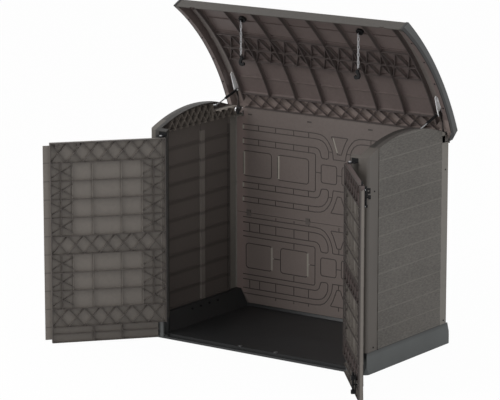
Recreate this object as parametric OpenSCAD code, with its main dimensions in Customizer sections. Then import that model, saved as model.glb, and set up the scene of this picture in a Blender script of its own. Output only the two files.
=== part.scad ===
// Outdoor bin store: a ribbed tray, arched side walls, a two-part back wall,
// two doors and an arched lid that is held open by two gas struts.
// X runs along the front, +Y towards the back wall, +Z up.
// The origin is the centre of the tray's underside. Doors and lid stand open.

/* [Walls] */
// Width over the two side walls
wall_w = 1400; // [1300:10:1500]
// Depth of the side walls, front face to rear face
wall_d = 790; // [760:5:840]
// Height of a side wall at its front corner
wall_front_h = 1141; // [1135:1:1180]
// Rise of the side wall's arch above its corners
arch_rise = 85; // [80:1:90]
// Thickness of the moulded skins
skin_t = 4; // [3:0.5:5]
// Depth of the rim along the top of a side wall
rim_d = 60; // [56:1:64]
// Depth of the side wall's folded edges
frame_d = 14; // [10:1:20]
// Height of one moulded siding board
board_h = 100; // [90:1:110]
// Length of the front post along the side
front_post_l = 98; // [85:1:115]
// Width of the front post across the front
front_post_w = 110; // [105:1:118]
// Length of the rear post along the side
rear_post_l = 75; // [70:1:85]
// Depth of the rear post's top below the wall's front corner
rear_post_drop = 29; // [26:1:36]
// Depth of the shallow steps on the inside of the walls
board_rib = 5; // [3:1:8]

/* [Tray] */
// Height of the tray's side rails
tray_h = 111; // [95:1:125]
// Outward flare of the tray below a wall
tray_flare = 17; // [10:1:22]
// Depth of the sill's lip in front of the walls
sill_lip = 25; // [22:1:32]
// Height of the low lip that the doors pass over
lip_h = 11; // [9:1:12]
// Height of the sill behind the doors
sill_h = 24; // [20:1:25]
// Depth of the raised sill, front to back
sill_d = 100; // [60:1:140]
// Height of the floor
floor_h = 20; // [16:1:22]
// Thickness of the floor plate
floor_t = 5; // [4:0.5:6]
// Distance of the ground anchors from the walls' outer faces
anchor_inset = 112; // [105:1:130]
// Distance between the ground anchors, along Y
anchor_y = 532; // [480:2:560]
// Diameter of a ground anchor hole
anchor_hole_d = 10; // [8:0.5:12]

/* [Doors] */
// Thickness of a door
door_t = 26; // [24:1:28]
// Height of the door's lower edge
door_bottom = 15; // [15:1:18]
// Depth of the door's upper edge below the wall's front corner
door_drop = 31; // [31:1:60]
// Distance of each door's pins from the wall's outer face
hinge_inset = 93; // [88:1:96]
// Distance of each door's outer end from the wall's outer face
door_inset = 72; // [70:1:76]
// Angle at which the doors stand open
door_open = 131; // [90:1:135]
// Width by which the left door laps over the right one
door_lap = 35; // [30:1:38]
// Step at the ends of the lap
lap_step = 16; // [10:1:20]
// Thickness of the door's ribs
door_rib = 3; // [2:0.5:4]
// Diameter of the door pins
door_pin_d = 10; // [8:0.5:11]

/* [Lid] */
// Reach of the lid's end trims beyond the side walls
lid_side = 31.5; // [28:0.5:40]
// Height of the shut lid's edges above the wall's front corner
lid_above = 49; // [47:1:60]
// Rise of the lid's arch
lid_rise = 53; // [50:1:60]
// Overhang of the lid in front of the walls
lid_front = 28; // [26:1:32]
// Height of the lid's front lip
lid_lip_h = 65; // [58:1:65]
// Forward lean of the front lip over its height
lid_lip_lean = 14; // [8:1:18]
// Depth of the ribs under the lid
lid_rib_d = 35; // [28:1:38]
// Distance between the arched ribs
lid_rib_pitch = 177; // [150:1:200]
// Angle at which the lid stands open
lid_open = 52; // [45:1:55]
// Distance of the lid's pivot from the walls' rear face
lid_pivot_back = 15; // [13:1:17]
// Height of the lid's pivot above the rear post
lid_pivot_up = 33; // [31:1:35]
// Diameter of the lid's hinge pins
lid_pin_d = 10; // [8:0.5:11]

/* [Struts and chains] */
// Distance of the strut's lower stud in front of the lid's pivot
strut_stud_front = 235; // [230:1:240]
// Height of the strut's lower stud above the lid's pivot
strut_stud_up = 51; // [48:1:53]
// Lid side of the strut, in front of the lid's pivot when shut
strut_top_back = 110; // [108:1:112]
// Lid side of the strut, above the lid's pivot when shut
strut_top_up = 39; // [37:1:41]
// Length of the strut's tube
strut_tube_l = 104; // [90:1:106]
// Diameter of the strut's tube
strut_tube_d = 14; // [12:1:15]
// Diameter of the strut's rod
strut_rod_d = 7; // [5:0.5:8]
// Distance of the chains outside the lid's second rib
chain_off = 24; // [24:1:60]
// Distance of the chains from the walls' front when the lid is shut
chain_y = 95; // [80:1:120]
// Inner length of a chain link
link_in = 21; // [18:0.5:24]
// Wire diameter of a chain link
link_wire = 3.6; // [3:0.2:4]
// Number of links in a chain
link_count = 9; // [5:1:10]

/* [Latches] */
// Distance of the top latch from the middle
latch_x = 58; // [57:1:64]
// Diameter of the top latch's sliding bar
latch_bar_d = 12; // [10:1:12]
// Travel of the top latch
latch_travel = 25; // [15:1:26]
// Diameter of the padlock hole
padlock_d = 9; // [7:0.5:10]
// Distance of the bottom bolt from the middle
bolt_x = 115; // [100:1:120]
// Diameter of the bottom bolt
bolt_d = 10; // [8:1:11]
// Travel of the bottom bolt
bolt_travel = 20; // [12:1:21]

/* [Hidden] */
$fn = 64;
arc_fn = 360;
eps = 1;
// gap between pieces that are fixed to each other
fit_gap = 0.3;
// radial gap of a running pin
pin_gap = 0.08;

tray_d = wall_d + sill_lip + tray_flare;
y_front = -tray_d / 2 + sill_lip;
y_rear = y_front + wall_d;
hw = wall_w / 2;
rear_post_h = wall_front_h - rear_post_drop;
piv_y = y_rear - lid_pivot_back;
lid_pivot_z = rear_post_h + lid_pivot_up;
stud_y = piv_y - strut_stud_front;
strut_stud_z = lid_pivot_z + strut_stud_up;
tray_hw = hw + tray_flare;
tray_reveal = 2;
tray_corner_r = 30;
rail_foot_w = 95;
rail_top_w = 42;
back_lip_h = 34;
back_lip_slope = 12;
back_slot_z = 24;
panel_t = 8;
panel_y1 = y_rear - skin_t - fit_gap;
panel_y0 = panel_y1 - panel_t;
panel_hw = hw - frame_d - 2;
panel_top = rear_post_h + 40;
panel_split = round(0.482 * panel_top);
// room for the posts' heads at the panel's top corners
panel_notch_x = hw - rim_d - 4;
panel_notch_z = rear_post_h - 9;

// side wall arch
arch_r = (pow(wall_d / 2, 2) + pow(arch_rise, 2)) / (2 * arch_rise);
arch_cy = y_front + wall_d / 2;
arch_cz = wall_front_h + arch_rise - arch_r;
lattice_z = wall_front_h - 23;
recess_y = stud_y - 44;
recess_z = wall_front_h + 31;
recess_x = hw - 8;
side_y0 = y_front + front_post_l;
side_y1 = y_rear - rear_post_l;

// doors
door_top = wall_front_h - door_drop;
door_end = hw - door_inset;
door_pivot_x = hw - hinge_inset;
door_y1 = y_front - 1;
door_y0 = door_y1 - door_t;
// the pins stand just in front of the shut door's face
pivot_y = door_y0 - 2;
barrel_r = door_pin_d / 2 + 4;
// top of the turret that the door turns on
turret_z = door_bottom + 80;
// shallow pocket in the post and the tray, in which the door's end turns
pocket_d = 8;
pocket_x = hw - 60;
bracket_z0 = door_top + 2;
bracket_t = 6;

// lid, given shut
lid_w = wall_w + 2 * lid_side;
lid_edge_h = wall_front_h + lid_above;
lid_lo = lid_edge_h - 190;
lid_hi = lid_edge_h + lid_rise + 57;
lid_y0 = y_front - lid_front;
lid_y1 = y_rear - 3;
lid_half = (lid_y1 - lid_y0) / 2;
lid_r = (lid_half * lid_half + lid_rise * lid_rise) / (2 * lid_rise);
lid_cy = (lid_y0 + lid_y1) / 2;
lid_cz = lid_edge_h + lid_rise - lid_r;
trim_t = 4.2;
lid_skin_hw = lid_w / 2 - trim_t - fit_gap;
skirt_x = hw + 4;
skirt_rise = 71;
skirt_z = lid_edge_h - lid_lip_h;
skirt_half = lid_half + lid_lip_lean;
skirt_r = (skirt_half * skirt_half + skirt_rise * skirt_rise) / (2 * skirt_rise);
skirt_cz = skirt_z + skirt_rise - skirt_r;
rear_edge_z = panel_top + 6;
channel_x = hw - rim_d - 8;

// strut
strut_x = hw - 44;
top_y = piv_y - strut_top_back;
top_z = lid_pivot_z + strut_top_up;
open_dy = cos(-lid_open) * (top_y - piv_y) - sin(-lid_open) * (top_z - lid_pivot_z);
open_dz = sin(-lid_open) * (top_y - piv_y) + cos(-lid_open) * (top_z - lid_pivot_z);
strut_y = piv_y + open_dy;
strut_z = lid_pivot_z + open_dz;
strut_len = norm([strut_y - stud_y, strut_z - strut_stud_z]);
strut_dir = atan2(strut_stud_z - strut_z, stud_y - strut_y);
eye_w = 8;
stud_d = 8;
strut_pin_d = 6;
// from the upper pin to the tube's cap
tube_start = 9;

// chains, with the lid open
chain_x = 2 * lid_rib_pitch + chain_off;
anchor_z = lid_z(y_front + chain_y) - skin_t;
anchor_drop = 26;
eye_dy = y_front + chain_y - piv_y;
eye_dz = anchor_z - anchor_drop - lid_pivot_z;
eye_y = piv_y + cos(-lid_open) * eye_dy - sin(-lid_open) * eye_dz;
eye_z = lid_pivot_z + sin(-lid_open) * eye_dy + cos(-lid_open) * eye_dz;
link_pitch = link_in - fit_gap;
chain_pin_d = 4;
// from the pin down to the middle of the first link
first_link = (link_in - chain_pin_d) / 2 - fit_gap;

// latches
latch_y = door_y0 - 9;
latch_z = door_top - 110;
latch_loop_z = [0, 58];
latch_loop_h = 12;
latch_grip_z = 50;
latch_arm_z = door_top - 12;
// height of the padlock's lug above the plate's foot
lug_z = 64;
lug_h = 28;
bolt_grip_z = sill_h + 52;
bolt_rest_z = sill_h + 4;
bolt_top_z = sill_h + 118;
// height of the housing's lower end, of its upper guide, and of a guide
housing_z = sill_h + 6;
guide_z = sill_h + 80;
guide_h = 18;

shell_brown = [0.36, 0.34, 0.32];
tray_grey = [0.24, 0.25, 0.25];
trim_grey = [0.31, 0.32, 0.32];
fitting_black = [0.08, 0.08, 0.08];
steel = [0.75, 0.76, 0.77];

function lid_z(y) = lid_cz + sqrt(lid_r * lid_r - pow(y - lid_cy, 2));
function skirt_edge(y) = skirt_cz + sqrt(skirt_r * skirt_r - pow(y - lid_cy, 2));

// box between two corners
module block(lo, hi) {
    translate(lo) cube(hi - lo);
}

// a flat shape in Y and Z, drawn out along X
module along_x(x0, x1) {
    translate([x0, 0, 0]) rotate([90, 0, 90]) linear_extrude(x1 - x0) children();
}

module mirrored() {
    mirror([1, 0, 0]) children();
}

// part of the side wall's outline, with its arched top lowered by inset
module arch_area(y0, y1, z0, inset = 0) {
    intersection() {
        translate([arch_cy, arch_cz]) circle(r = arch_r - inset, $fn = arc_fn);
        translate([y0, z0]) square([y1 - y0, wall_front_h + arch_rise - z0 + eps]);
    }
}

module arch_rim(y0, y1, x0, x1) {
    along_x(x0, x1) difference() {
        arch_area(y0, y1, lattice_z);
        arch_area(y0 - eps, y1 + eps, lattice_z - eps, skin_t + 1);
    }
}

// flat rounded rectangle from circles and squares
module rounded(x0, x1, y0, y1, r) {
    translate([x0 + r, y0]) square([x1 - x0 - 2 * r, y1 - y0]);
    translate([x0, y0 + r]) square([x1 - x0, y1 - y0 - 2 * r]);
    for (x = [x0 + r, x1 - r], y = [y0 + r, y1 - r])
        translate([x, y]) circle(r = r);
}

// the tray's flared outside, from two tapers and a rounded outline
module tray_outside() {
    intersection() {
        translate([0, tray_d / 2 + eps, 0]) rotate([90, 0, 0]) linear_extrude(tray_d + 2 * eps)
            polygon([[-tray_hw, 0], [tray_hw, 0], [hw + tray_reveal, tray_h], [-hw - tray_reveal, tray_h]]);
        along_x(-tray_hw, tray_hw) polygon([[-tray_d / 2, 0], [tray_d / 2, 0],
            [y_rear + tray_reveal, tray_h], [y_front - tray_reveal, tray_h]]);
        linear_extrude(tray_h)
            rounded(-tray_hw, tray_hw, -tray_d / 2, tray_d / 2, tray_corner_r);
    }
}

module anchor_places() {
    for (x = [-1, 1] * (hw - anchor_inset), y = [-1, 1] * anchor_y / 2)
        translate([x, y_front + wall_d / 2 + anchor_shift + y, 0]) children();
}

module socket_places() {
    for (x = [-bolt_x, bolt_x])
        translate([x, bolt_y, 0]) children();
}

bolt_y = y_front + 14;
socket_d = 20;
// the anchors lie behind the middle of the floor
anchor_shift = 45;
foot_x = tray_hw - 72;

// floor tray with side rails, a back rail with the panel's slot, and a low sill
module base_tray() color(tray_grey) {
    web = 5;
    cell_x = (2 * (hw - rail_foot_w) - 55) / 8 - web;
    cell_y = (wall_d - 105) / 5 - web;
    rail_pitch = (wall_d - 50) / 5;
    rail_hollow = 34;
    difference() {
        union() {
            difference() {
                tray_outside();
                // inner well, wider at the top of the rails
                translate([0, panel_y1, 0]) rotate([90, 0, 0])
                    linear_extrude(panel_y1 - y_front - 20)
                    polygon([[-hw + rail_foot_w, floor_h], [hw - rail_foot_w, floor_h],
                        [hw - rail_top_w, tray_h], [hw - rail_top_w, tray_h + eps],
                        [-hw + rail_top_w, tray_h + eps], [-hw + rail_top_w, tray_h]]);
                // doorway between the corner blocks
                block([-hw + front_post_w, -tray_d / 2 - eps, sill_h],
                    [hw - front_post_w, y_front + 21, tray_h + eps]);
                // low lip in front of the doors
                block([-foot_x, -tray_d / 2 - eps, lip_h], [foot_x, y_front, tray_h + eps]);
                // slot of the back panel
                block([-panel_hw - fit_gap, panel_y0 - fit_gap, back_slot_z],
                    [panel_hw + fit_gap, panel_y1 + fit_gap, tray_h + eps]);
                // hollow rails, and the hollows under their slopes
                for (s = [-1, 1], i = [0:4])
                    translate([s * (hw - 22), y_front + 30 + i * rail_pitch, -eps]) {
                        translate([-rail_hollow / 2, 0, 0])
                            cube([rail_hollow, rail_pitch - 12, tray_h - 9]);
                        translate([0, rail_pitch - 12, 0]) rotate([90, 0, 0])
                            linear_extrude(rail_pitch - 12) scale([s, 1])
                            polygon([[-66, 0], [-66, floor_h - floor_t], [-22, tray_h - 22], [-22, 0]]);
                    }
                // pockets under the floor, with webs between them
                for (i = [-3.5:3.5], j = [-2:2])
                    translate([i * (cell_x + web) - cell_x / 2,
                        y_front + wall_d / 2 - 12 + j * (cell_y + web) - cell_y / 2, -eps])
                        cube([cell_x, cell_y, floor_h - floor_t + eps]);
            }
            // raised sill, and the sloped lip before the back panel
            block([-hw + rail_foot_w - 2, y_front, floor_h - 2],
                [hw - rail_foot_w + 2, y_front + sill_d, sill_h]);
            along_x(-hw + rail_foot_w - 8, hw - rail_foot_w + 8) polygon([
                [panel_y0 - back_lip_slope, floor_h - 1], [panel_y0 - fit_gap, floor_h - 1],
                [panel_y0 - fit_gap, back_lip_h], [panel_y0 - 4, back_lip_h]]);
            anchor_places() cylinder(d = 34, h = floor_h);
        }
        // pockets behind the doors' ends
        for (s = [-1, 1])
            translate([s * door_pivot_x, y_front, 0]) block([-pocket_x + door_pivot_x, -eps, lip_h],
                [pocket_x - door_pivot_x, pocket_d, tray_h + eps]);
        anchor_places() translate([0, 0, -eps]) cylinder(d = anchor_hole_d, h = sill_h + 2 * eps);
        socket_places() translate([0, 0, -eps])
            cylinder(d = socket_d + 2 * fit_gap, h = sill_h + 2 * eps);
    }
}

// bushes in the sill that take the bottom bolt
module sill_sockets() color(steel)
    socket_places() difference() {
        union() {
            cylinder(d = socket_d, h = sill_h);
            translate([0, 0, sill_h]) cylinder(d = socket_d + 3, h = 1);
        }
        translate([0, 0, -eps]) cylinder(d = bolt_d + 3, h = sill_h + 1 + 2 * eps);
    }

// heads of the screws that hold the walls to the rails, on the rails' slope
module rail_screws() color(fitting_black) {
    slope = atan2(rail_foot_w - rail_top_w, tray_h - floor_h);
    drop = 20;
    for (s = [-1, 1], i = [0:3])
        translate([s * (hw - rail_top_w - drop * tan(slope)), y_front + (0.38 + 0.1013 * i) * wall_d,
            tray_h - drop])
            rotate([0, s * (slope - 90), 0]) translate([0, 0, fit_gap]) {
                cylinder(d = 13, h = 3);
                cylinder(d = 8, h = 6);
            }
}

// a moulded side wall between its posts, with its ribs inside
module side_wall() {
    lattice_pitch = 56;
    lattice_t = 3;
    lattice_l = 3 * arch_rise;
    lattice_x = hw - rim_d + 4;
    upright_y = arch_cy + 46;
    upright_w = 36;
    difference() {
        union() {
            along_x(hw - skin_t, hw) arch_area(side_y0, side_y1, tray_h);
            arch_rim(side_y0, side_y1, hw - rim_d, hw);
            // frame along the bottom and both ends
            block([hw - frame_d, side_y0, tray_h], [hw, side_y1, tray_h + skin_t]);
            along_x(hw - frame_d, hw - 1) arch_area(side_y0, side_y0 + skin_t, tray_h);
            along_x(hw - frame_d, hw - 1) arch_area(side_y1 - skin_t, side_y1, tray_h);
            // one rib at each board
            for (z = [tray_h + board_h : board_h : lattice_z - 10])
                block([hw - skin_t - board_rib, side_y0, z - 2], [hw - 1, side_y1, z + 2]);
            // middle upright
            block([hw - skin_t - 2 * board_rib, upright_y, tray_h],
                [hw - 1, upright_y + upright_w, lattice_z]);
            block([lattice_x + 20, side_y0, lattice_z - 4], [hw - 1, side_y1, lattice_z]);
            // crossed ribs under the arch
            intersection() {
                along_x(lattice_x, hw - 1) arch_area(side_y0, side_y1, lattice_z - 2, 2);
                for (i = [-1:12], s = [-1, 1])
                    translate([lattice_x, side_y0 + (i + 0.5) * lattice_pitch, lattice_z + 45])
                        rotate([s * 37, 0, 0]) translate([0, -lattice_t / 2, -lattice_l / 2])
                            cube([hw - lattice_x, lattice_t, lattice_l]);
            }
            // walls round the strut's recess
            along_x(hw - rim_d, hw - 1) arch_area(recess_y - skin_t, recess_y, lattice_z);
        }
        block([hw - rim_d - eps, recess_y, recess_z],
            [recess_x, side_y1 + eps, wall_front_h + 2 * arch_rise]);
    }
    difference() {
        block([hw - rim_d, recess_y - skin_t, recess_z - 5], [hw - 1, side_y1, recess_z]);
        // the ledge stops at the arch where it runs lower
        along_x(hw - rim_d - eps, hw) difference() {
            translate([recess_y - 10, recess_z - 10]) square([side_y1 - recess_y + 20, arch_rise + 20]);
            arch_area(recess_y - 20, side_y1 + 40, recess_z - 20);
        }
    }
}

module left_side_wall() color(shell_brown) mirrored() side_wall();
module right_side_wall() color(shell_brown) side_wall();

// outline of the front post, rounded at its outer corner
module front_post_area(y1) {
    r = 18;
    translate([hw - front_post_w, y_front]) square([front_post_w - r, y1 - y_front]);
    translate([hw - front_post_w, y_front + r]) square([front_post_w, y1 - y_front - r]);
    translate([hw - r, y_front + r]) circle(r = r);
}

module front_post_wall() {
    r = 18;
    y1 = side_y0 - fit_gap;
    // side leg, front leg with its pocket, and the quarter round between the legs
    translate([hw - skin_t, y_front + r]) square([skin_t, y1 - y_front - r]);
    translate([pocket_x, y_front]) square([hw - r - pocket_x, skin_t]);
    translate([pocket_x, y_front]) square([skin_t, pocket_d + skin_t]);
    translate([hw - front_post_w, y_front + pocket_d]) square([front_post_w - hw + pocket_x + 1, skin_t]);
    intersection() {
        translate([hw - r, y_front + r]) difference() {
            circle(r = r);
            circle(r = r - skin_t);
        }
        translate([hw - r, y_front]) square([r, r]);
    }
    // return at the doorway and flange at the wall
    translate([hw - front_post_w, y_front + pocket_d]) square([skin_t, 20 - pocket_d]);
    translate([hw - frame_d, y1 - skin_t]) square([frame_d, skin_t]);
}

module front_post() {
    y1 = side_y0 - fit_gap;
    intersection() {
        union() {
            translate([0, 0, tray_h]) linear_extrude(wall_front_h + arch_rise - tray_h) front_post_wall();
            arch_rim(y_front, y1, hw - rim_d, hw);
            arch_rim(y_front, y_front + 20, hw - front_post_w, hw);
        }
        along_x(0, hw + eps) arch_area(y_front, y1, tray_h);
        translate([0, 0, tray_h]) linear_extrude(wall_front_h + arch_rise) front_post_area(y1);
    }
}

module left_front_post() color(shell_brown) mirrored() front_post();
module right_front_post() color(shell_brown) front_post();

module rear_post_wall(y0) {
    r = 14;
    translate([hw - skin_t, y0]) square([skin_t, y_rear - r - y0]);
    translate([hw - rim_d + fit_gap, y_rear - skin_t]) square([rim_d - r - fit_gap, skin_t]);
    intersection() {
        translate([hw - r, y_rear - r]) difference() {
            circle(r = r);
            circle(r = r - skin_t);
        }
        translate([hw - r, y_rear - r]) square([r, r]);
    }
    translate([hw - frame_d, y0]) square([frame_d, skin_t]);
}

module rear_post_area(y0) {
    r = 14;
    translate([hw - rim_d + fit_gap, y0]) square([rim_d - r - fit_gap, y_rear - y0]);
    translate([hw - rim_d + fit_gap, y0]) square([rim_d - fit_gap, y_rear - r - y0]);
    translate([hw - r, y_rear - r]) circle(r = r);
}

// rear corner post; its top carries the lid's hinge plate
module rear_post() {
    y0 = side_y1 + fit_gap;
    y_ear = y_rear - 45;
    translate([0, 0, tray_h]) linear_extrude(rear_post_h - tray_h) rear_post_wall(y0);
    translate([0, 0, rear_post_h - 5]) linear_extrude(5) rear_post_area(y0);
    along_x(recess_x, hw) arch_area(y0, y_ear, rear_post_h - 2);
}

module left_rear_post() color(shell_brown) mirrored() rear_post();
module right_rear_post() color(shell_brown) rear_post();

// panel with folded edges and a rib at each board on its outer side
module back_panel(z0, z1) {
    difference() {
        union() {
            block([-panel_hw, panel_y0, z0], [panel_hw, panel_y0 + skin_t, z1]);
            difference() {
                block([-panel_hw, panel_y0, z0], [panel_hw, panel_y1, z1]);
                block([-panel_hw + skin_t, panel_y0 - eps, z0 + skin_t],
                    [panel_hw - skin_t, panel_y1 + eps, z1 - skin_t]);
            }
            for (z = [z1 - board_h : -board_h : z0 + 20])
                block([-panel_hw + 1, panel_y0 + 1, z - 2], [panel_hw - 1, panel_y1, z + 2]);
            for (x = [-0.2924, 0.2924] * panel_hw)
                block([x - 20, panel_y0 + 1, z0 + 1], [x + 20, panel_y1, z1 - 1]);
        }
        for (s = [-1, 1])
            translate([s * panel_hw, 0, 0]) block([panel_notch_x - panel_hw, panel_y0 - eps, panel_notch_z],
                [panel_hw - panel_notch_x, panel_y1 + eps, panel_top + eps]);
    }
}

module back_panel_lower() color(shell_brown) back_panel(back_slot_z, panel_split);

module back_panel_upper() color(shell_brown) back_panel(panel_split + fit_gap, panel_top);

// snap clips that join the two back panels
module panel_clips() color(shell_brown) {
    clip_step = round(0.2924 * panel_hw);
    clip_hw = 16;
    clip_t = 3;
    for (i = [-3 : 2 : 3]) translate([i * clip_step, panel_y0, panel_split]) {
        block([-clip_hw, -clip_t, -18], [clip_hw, 0, 20]);
        block([4 - clip_hw, -2 * clip_t - 1, 2], [clip_hw - 4, -clip_t, 14]);
    }
}

// pan-head screws at the feet of the posts
module post_screws() color(fitting_black) {
    head_d = 9;
    head_h = 2;
    drop = 181;
    for (s = [-1, 1], y = [y_front + 0.62 * front_post_l, y_rear - rear_post_l / 2],
            z = [tray_h + 20, wall_front_h - drop])
        translate([s * hw, y, z]) rotate([0, s * 90, 0]) {
            cylinder(d = head_d, h = head_h);
            translate([0, 0, head_h]) cylinder(d = head_d - 3, h = 0.8);
        }
}

// bracket over a door's top corner, screwed to the front post
module door_bracket() {
    difference() {
        union() {
            block([door_pivot_x - 12, pivot_y, bracket_z0],
                [pocket_x - 3, y_front + pocket_d, bracket_z0 + bracket_t]);
            translate([door_pivot_x, pivot_y, bracket_z0]) cylinder(r = 12, h = bracket_t);
            block([door_pivot_x - 12, y_front + pocket_d - 4, bracket_z0],
                [pocket_x - 3, y_front + pocket_d, wall_front_h - 6]);
        }
        translate([door_pivot_x, pivot_y, bracket_z0 - eps])
            cylinder(d = door_pin_d + 2 * pin_gap, h = bracket_t + 2 * eps);
    }
}

module left_door_bracket() color(fitting_black) mirrored() door_bracket();
module right_door_bracket() color(fitting_black) door_bracket();

module top_pin() {
    translate([door_pivot_x, pivot_y, door_top - 44]) cylinder(d = door_pin_d, h = 46 + bracket_t);
    translate([door_pivot_x, pivot_y, bracket_z0 + bracket_t]) cylinder(d = 16, h = 4.5);
}

module left_top_pin() color(steel) mirrored() top_pin();
module right_top_pin() color(steel) top_pin();

// foot on the tray's lip: plate, turret under the door's end, and the door's lower pin
module hinge_foot() {
    block([door_pivot_x - 17, pivot_y - 15, lip_h], [door_pivot_x + 17, y_front, door_bottom - 1]);
    translate([door_pivot_x, pivot_y, lip_h]) {
        cylinder(r = 13, h = turret_z - lip_h);
        cylinder(d = door_pin_d, h = turret_z - lip_h + 30);
    }
}

module left_hinge_foot() color(tray_grey) mirrored() hinge_foot();
module right_hinge_foot() color(tray_grey) hinge_foot();

plate_x = hw - 27;
hinge_r = 13;
arm_x = plate_x - 6;

// steel plate on the rear post that holds the lid's hinge pin
module lid_hinge() {
    difference() {
        union() {
            block([plate_x, piv_y - hinge_r, rear_post_h], [plate_x + 4, piv_y + hinge_r, lid_pivot_z]);
            translate([plate_x, piv_y, lid_pivot_z]) rotate([0, 90, 0]) cylinder(r = hinge_r, h = 4);
            block([plate_x, piv_y - 30, rear_post_h], [recess_x - 2, piv_y + hinge_r, rear_post_h + 4]);
        }
        translate([plate_x - eps, piv_y, lid_pivot_z]) rotate([0, 90, 0])
            cylinder(d = lid_pin_d + 2 * pin_gap, h = 4 + 2 * eps);
    }
}

module left_lid_hinge() color(steel) mirrored() lid_hinge();
module right_lid_hinge() color(steel) lid_hinge();

module hinge_pin() {
    translate([arm_x - 4, piv_y, lid_pivot_z]) rotate([0, 90, 0]) {
        cylinder(d = lid_pin_d + 6, h = 3.5);
        cylinder(d = lid_pin_d, h = plate_x + 10 - arm_x);
        translate([0, 0, plate_x + 8 + fit_gap - arm_x]) cylinder(d = lid_pin_d + 4, h = 3);
    }
}

module left_hinge_pin() color(steel) mirrored() hinge_pin();
module right_hinge_pin() color(steel) hinge_pin();

// stud on the wall; it ends just short of the strut's eye
module strut_stud() {
    x0 = strut_x + eye_w / 2 + fit_gap;
    translate([x0, stud_y, strut_stud_z]) rotate([0, 90, 0])
        cylinder(d = stud_d, h = recess_x - x0);
    translate([recess_x - 4, stud_y, strut_stud_z]) rotate([0, 90, 0])
        cylinder(d = 2 * stud_d, h = 4);
}

module left_strut_stud() color(steel) mirrored() strut_stud();
module right_strut_stud() color(steel) strut_stud();

// turns what is drawn shut into the open lid
module opened() {
    translate([0, piv_y, lid_pivot_z]) rotate([-lid_open, 0, 0])
        translate([0, -piv_y, -lid_pivot_z]) children();
}

// region under the lid's arch, lowered by inset
module lid_area(y0, y1, z0, inset = 0) {
    intersection() {
        translate([lid_cy, lid_cz]) circle(r = lid_r - inset, $fn = arc_fn);
        translate([y0, z0]) square([y1 - y0, lid_edge_h + lid_rise + 20 - z0]);
    }
}

module lid_band(y0, y1, inset0, inset1) {
    difference() {
        lid_area(y0, y1, lid_lo, inset0);
        lid_area(y0 - eps, y1 + eps, lid_lo - eps, inset1);
    }
}

// outline of the lid's end, from its arch down to the skirt's arched edge
module end_area(y0, y1, inset = 0) {
    difference() {
        union() {
            lid_area(y0, y1, skirt_z, inset);
            polygon([[lid_y0, lid_edge_h - inset], [lid_y0 - lid_lip_lean, skirt_z],
                [lid_y0 + 40, skirt_z], [lid_y0 + 40, lid_edge_h - inset]]);
        }
        translate([lid_cy, skirt_cz]) circle(r = skirt_r, $fn = arc_fn);
    }
}

module front_lip_area(t) {
    polygon([[lid_y0, lid_edge_h], [lid_y0 - lid_lip_lean, skirt_z],
        [lid_y0 - lid_lip_lean + t, skirt_z], [lid_y0 + t, lid_edge_h - 1]]);
}

// arched lid: skin, front lip, end skirts, and the grid of ribs underneath
module lid_panel() color(shell_brown) opened() {
    flange_x = (skirt_x + lid_skin_hw) / 2;
    flange_w = lid_skin_hw - skirt_x;
    rib_y0 = y_front + 6;
    rib_y1 = y_rear - 55;
    step_d = 12;
    // ribs across the lid: distance behind the walls' front as a share of their depth, and depth
    cross_ribs = [[0.149, step_d], [0.292, step_d], [0.311, 28], [0.447, 28], [0.562, 28],
        [0.739, step_d], [0.874, 28]];
    last_rib_y = y_front + cross_ribs[6][0] * wall_d;
    rib_n = floor((channel_x - 20) / lid_rib_pitch + 0.5);
    difference() {
        union() {
            along_x(-lid_skin_hw, lid_skin_hw) {
                lid_band(lid_y0, lid_y1, 0, skin_t + 1);
                front_lip_area(skin_t + 1);
                translate([lid_y1 - skin_t - 1, rear_edge_z])
                    square([skin_t + 1, lid_edge_h - 2 - rear_edge_z]);
            }
            for (s = [-1, 1]) {
                // skirt and the flange along its lower edge
                along_x(s * (skirt_x + skin_t / 2) - skin_t / 2, s * (skirt_x + skin_t / 2) + skin_t / 2)
                    end_area(lid_y0, lid_y1, 1);
                along_x(s * flange_x - flange_w / 2, s * flange_x + flange_w / 2) intersection() {
                    end_area(lid_y0, lid_y1, 1);
                    translate([lid_cy, skirt_cz + skin_t]) circle(r = skirt_r, $fn = arc_fn);
                }
                // inner wall beside the ribs
                along_x(s * channel_x - 2, s * channel_x + 2) lid_band(rib_y0, rib_y1, 2, lid_rib_d);
            }
            // ribs along the arch, half a pitch off the middle, as far as the last rib across
            for (i = [-rib_n : rib_n - 1])
                along_x((i + 0.5) * lid_rib_pitch - 2, (i + 0.5) * lid_rib_pitch + 2)
                    lid_band(rib_y0, last_rib_y + 2, 2, lid_rib_d);
            for (rib = cross_ribs) along_x(-channel_x, channel_x)
                lid_band(y_front + rib[0] * wall_d, y_front + rib[0] * wall_d + 4, 2, rib[1]);
        }
        // notches over the doors' hinge brackets
        for (s = [-1, 1])
            block([s * door_pivot_x - 15, lid_y0 - 30, skirt_z - eps],
                [s * door_pivot_x + 15, lid_y0 + 20, skirt_z + 7]);
        // room for the hinge plates at the rear wall's ends
        for (s = [-1, 1])
            block([s * (plate_x + 4) - 22, lid_y1 - 10, rear_edge_z - eps],
                [s * (plate_x + 4) + 22, lid_y1 + eps, lid_pivot_z + hinge_r + 5]);
    }
}

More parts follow.
